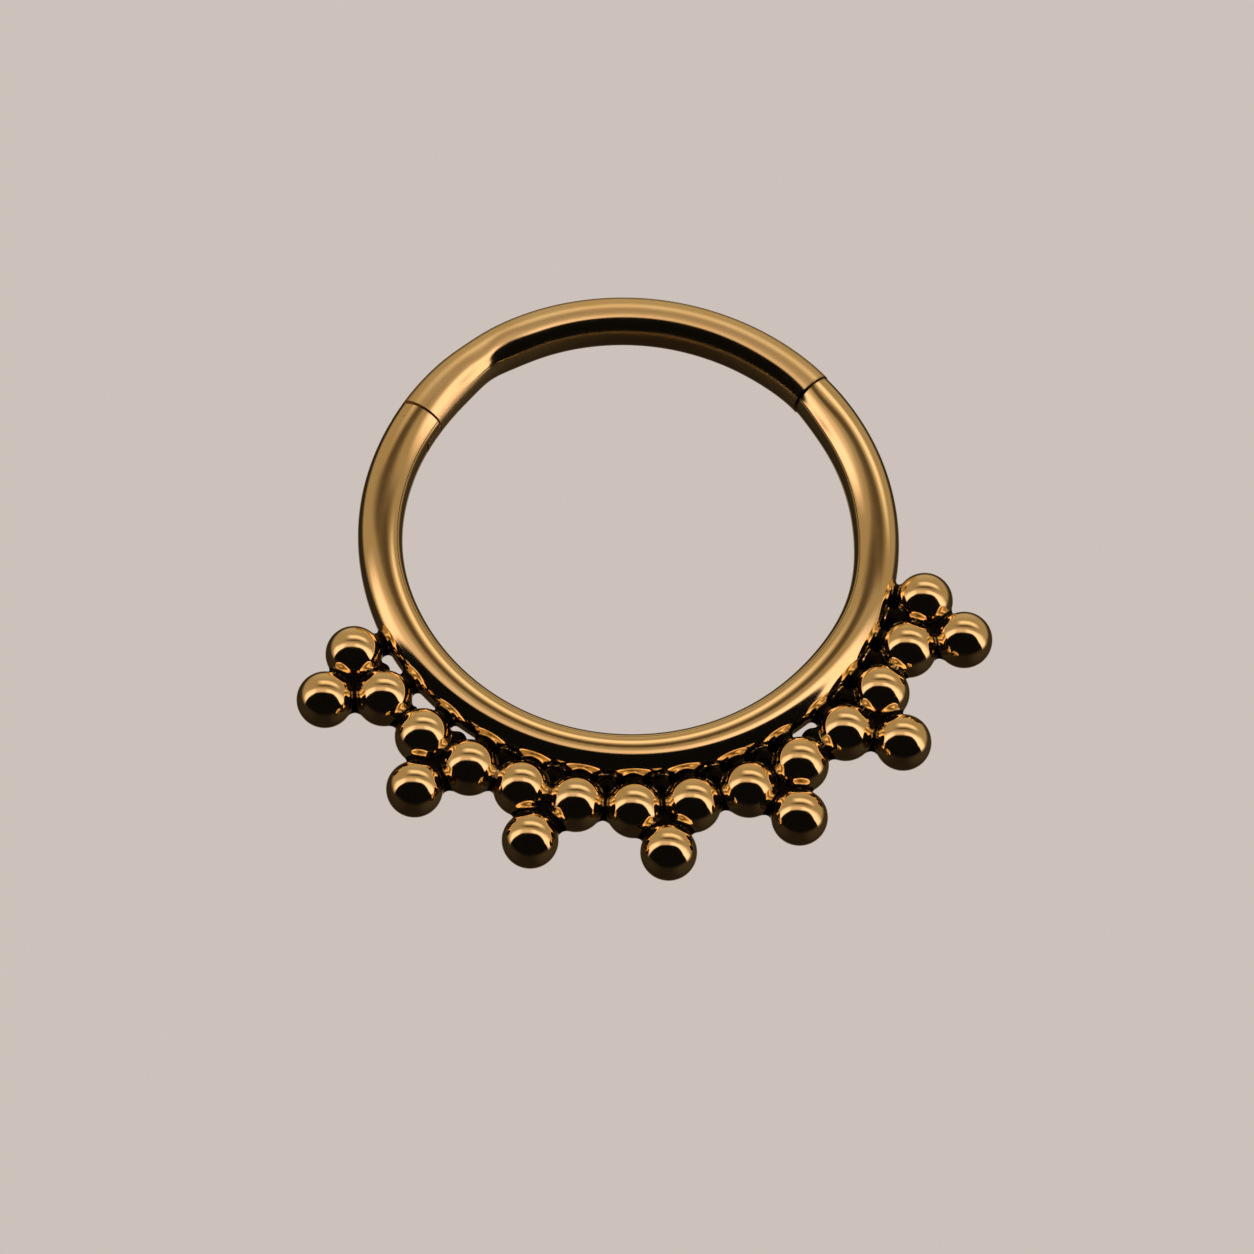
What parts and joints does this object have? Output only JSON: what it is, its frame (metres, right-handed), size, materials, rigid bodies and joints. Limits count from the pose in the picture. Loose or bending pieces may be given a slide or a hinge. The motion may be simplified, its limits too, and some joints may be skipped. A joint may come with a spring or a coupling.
{
  "type": "clicker ring",
  "caption": "Hinged-segment piercing ring of polished gold-coloured round wire with a two-row fan of soldered beads along its near half.",
  "frame": {"origin": "centre of the wire's circle, in the middle plane of the ring", "axes": "+Z along the ring's axis, up from the surface the ring lies on; -Y towards the middle of the bead fan; +X towards the closure side"},
  "size_m": [0.0148, 0.0138, 0.0012],
  "materials": {
    "body_gold": "mirror-polished gold-coloured coating on steel",
    "segment_gold": "mirror-polished gold-coloured coating on steel",
    "pin_gold": "polished gold-coloured coating on steel"
  },
  "bodies": {
    "ring": {"ring_body": "body_gold", "hinge_pin": "pin_gold"},
    "segment": {"hinged_segment": "segment_gold"}
  },
  "joints": [
    {"name": "segment_hinge", "type": "hinge", "parent": "ring", "child": "segment", "pos_m": [-0.0044, 0.00332, 0], "axis": [0, 0, 1], "range_deg": [0, 80]}
  ]
}
